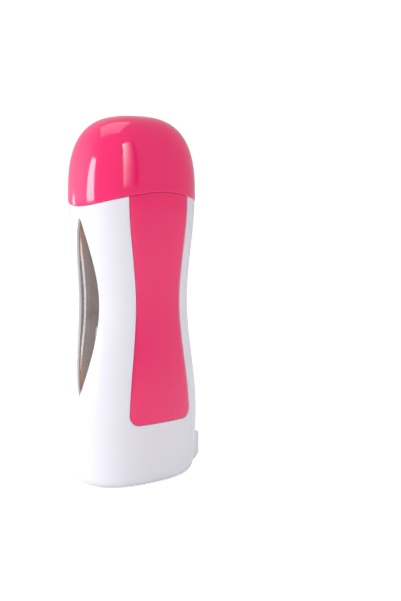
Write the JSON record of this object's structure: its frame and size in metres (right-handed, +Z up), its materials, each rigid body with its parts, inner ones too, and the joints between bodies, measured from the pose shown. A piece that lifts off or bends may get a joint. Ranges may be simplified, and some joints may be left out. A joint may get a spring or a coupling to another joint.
{
  "type": "roll-on wax heater",
  "caption": "Handheld waisted oval heater for a roll-on wax cartridge, with coloured face panels, spindle-shaped side windows and a domed lift-off cap over the roller.",
  "frame": {"origin": "middle of the flat base that the heater stands on", "axes": "+Z up through the cap, +X across the broad face towards the mains inlet, -Y out of the front face"},
  "size_m": [0.0837, 0.0546, 0.212],
  "materials": {
    "white_shell": "glossy white moulded plastic",
    "white_satin": "satin white moulded plastic",
    "inlet_white": "white moulded plastic",
    "pink_gloss": "glossy pink moulded plastic",
    "smoked_window": "clear smoky plastic",
    "grey_silicone": "soft silicone",
    "well_aluminium": "drawn aluminium",
    "heatproof_plastic": "glass-filled heatproof plastic",
    "plated_steel": "zinc plated",
    "dark_plastic": "moulded phenolic",
    "fuse_ceramic": "glazed ceramic",
    "board_green": "fibreglass board",
    "capacitor_yellow": "moulded box",
    "lamp_orange": "tinted clear lamp",
    "pin_brass": "nickel-plated brass",
    "brown_lead": "insulated lead",
    "blue_lead": "insulated lead",
    "red_lead": "silicone insulated lead",
    "bottle_plastic": "translucent blow-moulded plastic",
    "amber_wax": "honey-coloured wax",
    "frame_plastic": "moulded plastic",
    "roller_plastic": "smooth moulded roller"
  },
  "bodies": {
    "housing": {"front_shell": "white_shell", "rear_shell": "white_shell", "front_panel": "pink_gloss", "rear_panel": "pink_gloss", "left_window": "smoked_window", "right_window": "smoked_window", "top_collar": "white_shell", "well_gasket": "grey_silicone", "heated_well": "well_aluminium", "well_seat": "heatproof_plastic", "front_heater": "well_aluminium", "rear_heater": "well_aluminium", "heater_clips": "plated_steel", "thermostat": "dark_plastic", "thermal_fuse": "fuse_ceramic", "circuit_board": "board_green", "capacitor": "capacitor_yellow", "indicator_lamp": "lamp_orange", "mains_inlet": "inlet_white", "inlet_pins": "pin_brass", "live_lead": "brown_lead", "neutral_lead": "blue_lead", "front_heater_lead": "red_lead", "rear_heater_lead": "red_lead", "base_cover": "white_satin", "base_screws": "plated_steel", "shell_screws": "plated_steel"},
    "cartridge": {"cartridge_bottle": "bottle_plastic", "wax_fill": "amber_wax", "roller_frame": "frame_plastic"},
    "roller": {"roller": "roller_plastic"},
    "cap": {"cap": "pink_gloss"}
  },
  "joints": [
    {"name": "cartridge_lift", "type": "slide", "parent": "housing", "child": "cartridge", "axis": [0, 0, 1], "range_m": [0, 0.115]},
    {"name": "roller_spin", "type": "hinge", "parent": "cartridge", "child": "roller", "pos_m": [0, 0, 0.194], "axis": [1, 0, 0], "continuous": true},
    {"name": "cap_lift", "type": "slide", "parent": "cartridge", "child": "cap", "axis": [0, 0, 1], "range_m": [0, 0.06]}
  ]
}
